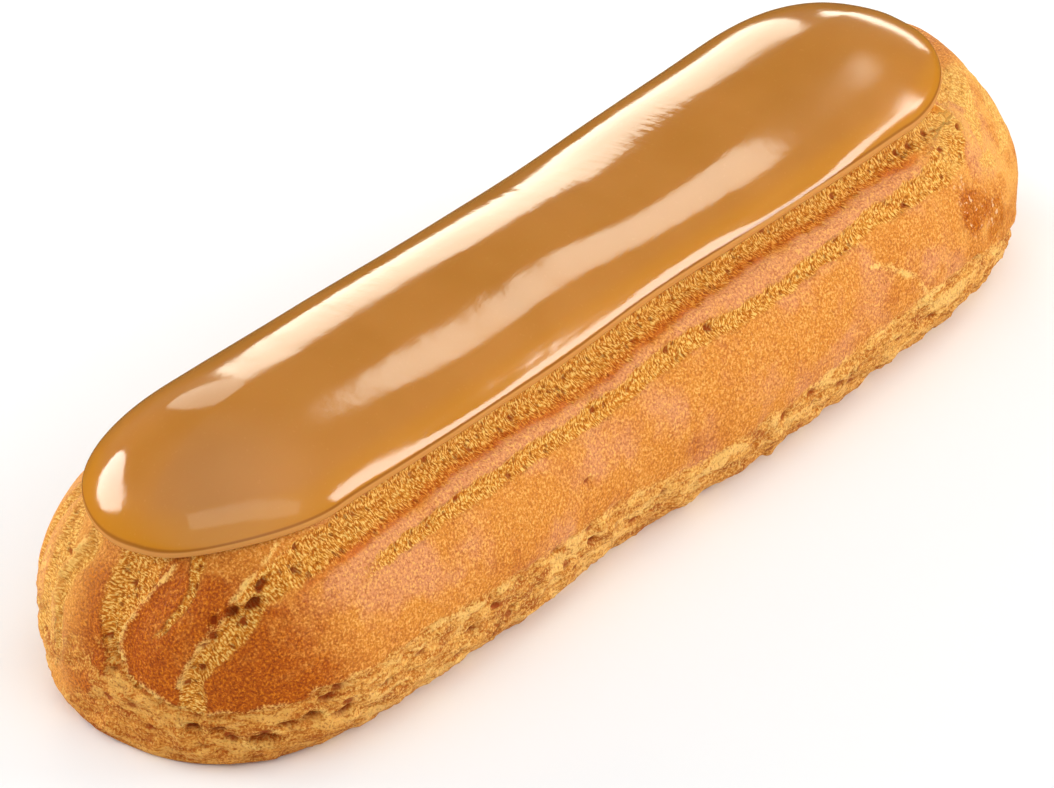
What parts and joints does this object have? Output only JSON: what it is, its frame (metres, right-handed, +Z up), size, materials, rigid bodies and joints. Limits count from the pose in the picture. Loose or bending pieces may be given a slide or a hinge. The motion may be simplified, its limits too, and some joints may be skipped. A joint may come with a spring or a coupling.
{
  "type": "eclair",
  "caption": "Whole uncut eclair: a long choux bun with piped ribs, round ends and a flat base, with glossy caramel-coloured icing over its top.",
  "frame": {"origin": "middle of the flat base, on the surface that the eclair rests on", "axes": "+X along the eclair, from its taller end to its lower end; +Z up through the icing"},
  "size_m": [0.145, 0.0437, 0.0346],
  "materials": {
    "choux": "baked choux crust, golden brown ribs with paler open crumb between them, matt with a faint sheen",
    "icing": "smooth glossy caramel-coloured icing, slightly translucent at its edge"
  },
  "bodies": {
    "root": {"choux": "choux", "icing": "icing"}
  },
  "joints": []
}
